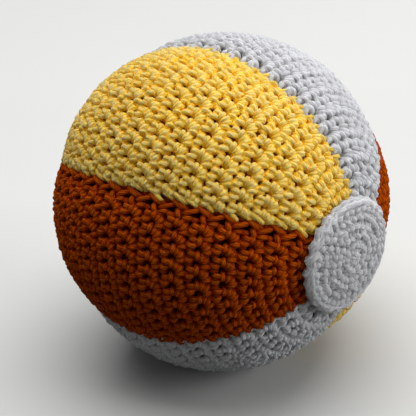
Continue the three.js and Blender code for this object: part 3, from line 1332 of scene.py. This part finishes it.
@dataclass
class FibreFilling:
    """Ball of loose fibre that fills the crochet."""

    form: BallForm
    name: str = "fibre_filling"
    depth: float = 0.0046
    tuft: float = 0.0016
    lowest: float = 0.0045

    def build(self) -> Object:
        """Builds the filling as a tufted ball.

        Returns:
            The finished filling.
        """
        let_go()
        bpy.ops.mesh.primitive_ico_sphere_add(subdivisions=6, radius=1.0)
        filling = bpy.context.object
        filling.name = self.name
        filling.data.name = self.name
        ball = vertex_places(filling.data)
        theta = np.arccos(np.clip(ball[:, 0], -1.0, 1.0))
        turn = np.arctan2(-ball[:, 1], ball[:, 2])
        places = self.form.point(theta, turn, np.full(len(ball), -self.depth - self.tuft))
        places[:, 2] = np.maximum(places[:, 2], self.lowest)
        filling.data.vertices.foreach_set("co", places.reshape(-1))
        take_up(filling)
        bpy.ops.object.mode_set(mode="EDIT")
        bpy.ops.mesh.select_all(action="SELECT")
        bpy.ops.transform.vertex_random(offset=self.tuft, uniform=0.2, normal=0.8, seed=5)
        bpy.ops.mesh.vertices_smooth(factor=0.5, repeat=2)
        bpy.ops.mesh.normals_make_consistent(inside=False)
        bpy.ops.object.mode_set(mode="OBJECT")
        filling.data.shade_smooth()
        filling.data.materials.append(FILLING.material())
        return filling

    def dress(self, filling: Object) -> None:
        """Ties the filling to the frame.

        Args:
            filling: The finished filling.
        """
        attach(filling, BODY)
        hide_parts(self.name)


@dataclass(frozen=True)
class SoftPanel:
    """Soft square lamp."""

    name: str
    place: Triple
    size: float
    watts: float

    def hang(self, aim: Vector) -> None:
        """Hangs the lamp so that it faces a point.

        Args:
            aim: The point.
        """
        let_go()
        bpy.ops.object.light_add(type="AREA", location=self.place)
        lamp = bpy.context.object
        lamp.name = self.name
        lamp.data.shape = "SQUARE"
        lamp.data.size = self.size
        lamp.data.energy = self.watts
        lamp.rotation_euler = (aim - Vector(self.place)).to_track_quat("-Z", "Y").to_euler()


@dataclass
class PhotoStudio:
    """Floor, soft lights and camera."""

    form: BallForm
    paper: PaleFloor = PaleFloor()
    floor_size: float = 8.0
    panels: tuple[SoftPanel, ...] = (
        SoftPanel("overhead_panel", (-0.1, 0.3, 1.4), 1.8, 35.0),
        SoftPanel("side_panel", (1.3, 0.6, 0.55), 0.8, 12.5),
    )
    room_colour: tuple[float, ...] = (0.95, 0.98, 1.0, 1.0)
    room_strength: float = 0.11
    azimuth: float = 40.8
    elevation: float = 27.0
    roll: float = -4.6
    distance: float = 0.56
    lens: float = 115.4
    sensor: float = 36.0
    clip: Pair = (0.01, 50.0)
    aim_right: float = -0.0057
    aim_up: float = -0.0029

    def centre(self) -> Vector:
        """Middle of the ball."""
        return Vector((0.0, 0.0, self.form.centre_height))

    def floor(self) -> None:
        """Lays the floor."""
        let_go()
        bpy.ops.mesh.primitive_plane_add(size=self.floor_size)
        ground = bpy.context.object
        ground.name = "studio_floor"
        ground.data.materials.append(self.paper.material())

    def lights(self) -> None:
        """Hangs the lamps and sets the even light of the room, seen as a pale backdrop."""
        for panel in self.panels:
            panel.hang(self.centre())
        board = NodeBoard(bpy.data.worlds.new("soft room"))
        room = board.add("Background", {"Color": self.room_colour, "Strength": self.room_strength})
        backdrop = board.add("Background", {"Color": linear(self.paper.haze)})
        seen = board.add("LightPath").outputs["Is Camera Ray"]
        both = board.add("MixShader", {0: seen, 1: room.outputs[0], 2: backdrop.outputs[0]})
        bpy.context.scene.world = board.finish(both)

    def camera(self) -> None:
        """Sets the camera at the photograph's angle."""
        let_go()
        bpy.ops.object.camera_add()
        camera = bpy.context.object
        camera.name = "main_camera"
        camera.data.lens = self.lens
        camera.data.sensor_width = self.sensor
        camera.data.sensor_fit = "HORIZONTAL"
        camera.data.clip_start, camera.data.clip_end = self.clip
        turn, rise = math.radians(self.azimuth), math.radians(self.elevation)
        flat = math.cos(rise)
        away = Vector((math.sin(turn) * flat, -math.cos(turn) * flat, math.sin(rise)))
        place = self.centre() + away * self.distance
        right = Vector((0.0, 0.0, 1.0)).cross(away).normalized()
        right = Matrix.Rotation(math.radians(self.roll), 3, away) @ right
        up = away.cross(right)
        aim = self.centre() + right * self.aim_right + up * self.aim_up
        back = (place - aim).normalized()
        right = up.cross(back).normalized()
        up = back.cross(right)
        turned = Matrix((right, up, back)).transposed().to_4x4()
        turned.translation = place
        camera.matrix_world = turned
        bpy.context.scene.camera = camera

    def build(self) -> None:
        """Sets up the whole studio."""
        self.floor()
        self.lights()
        self.camera()
        bpy.context.scene.view_settings.view_transform = "Standard"


def ball_form() -> BallForm:
    """Reads the ball's size and place from the frame."""
    low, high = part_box("orange_gore_front")
    return BallForm(
        girth_radius=-low.y,
        centre_height=0.5 * (low.z + high.z),
        pole_radius=high.x / math.cos(FIRST_COLATITUDE),
    )


def main() -> None:
    """Builds the ball, piece by piece, and the studio round it."""
    logging.basicConfig(level=logging.INFO, format="%(name)s: %(message)s")
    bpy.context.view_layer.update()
    form = ball_form()
    length = YarnLength(sides=8, parts=6, plies=4)
    deep = YarnLength(sides=5, parts=4, plies=3)
    yellow, orange, white = YarnColour.YELLOW, YarnColour.ORANGE, YarnColour.WHITE
    plain, chained = (Edge.PLAIN, Edge.PLAIN), (Edge.CHAINED, Edge.PLAIN)
    opened = (Edge.PLAIN, Edge.OPEN)
    # Name, yarn, turn of the first edge, phase of the rows, seed and edges of each gore.
    gores = [
        CrochetGore("yellow_gore_upper_front", yellow, 0.0, 0.46, 11, plain, form, length, deep),
        CrochetGore("orange_gore_front", orange, 60.0, 0.60, 12, chained, form, length, deep),
        CrochetGore("white_gore_lower_front", white, 120.0, 0.70, 13, opened, form, length, deep),
        CrochetGore("yellow_gore_lower_back", yellow, 180.0, 0.30, 14, plain, form, length, deep),
        CrochetGore("orange_gore_back", orange, 240.0, 0.80, 15, chained, form, length, deep),
        CrochetGore("white_gore_upper_back", white, 300.0, 0.15, 16, opened, form, length, deep),
    ]
    onward, backward, whip = HookSide.ONWARD, HookSide.BACKWARD, Sewing.WHIPPED
    # Name, yarn, turn, side that the stitches lean to, phase of the rows and seed of each seam.
    seams = [
        SeamYarn("seam_yarn_top", yellow, 0.0, backward, 0.46, 21, form, length, 2.0, whip),
        SeamYarn("seam_yarn_upper_front", yellow, 60.0, onward, 0.67, 22, form, length, 1.5),
        SeamYarn("seam_yarn_lower_front", orange, 120.0, onward, 0.16, 23, form, length, 1.1, whip),
        SeamYarn("seam_yarn_bottom", yellow, 180.0, backward, 0.30, 24, form, length, 2.0, whip),
        SeamYarn("seam_yarn_lower_back", yellow, 240.0, onward, 0.87, 25, form, length),
        SeamYarn("seam_yarn_upper_back", orange, 300.0, onward, 0.80, 26, form, length, 1.1, whip),
    ]
    right_cap, left_cap = PoleCap(form, 1.0), PoleCap(form, -1.0)
    rounds = [
        PoleDisc("pole_disc_right", right_cap, 31, length),
        PoleDisc("pole_disc_left", left_cap, 32, length),
        DiscSewingYarn("disc_sewing_yarn_right", right_cap, 33, deep),
        DiscSewingYarn("disc_sewing_yarn_left", left_cap, 34, deep),
    ]
    for maker in [*gores, *seams, *rounds, FibreFilling(form)]:
        piece = maker.build()
        maker.dress(piece)
        log.info("%s: %d faces", piece.name, len(piece.data.polygons))
    PhotoStudio(form).build()


if __name__ == "__main__":
    main()
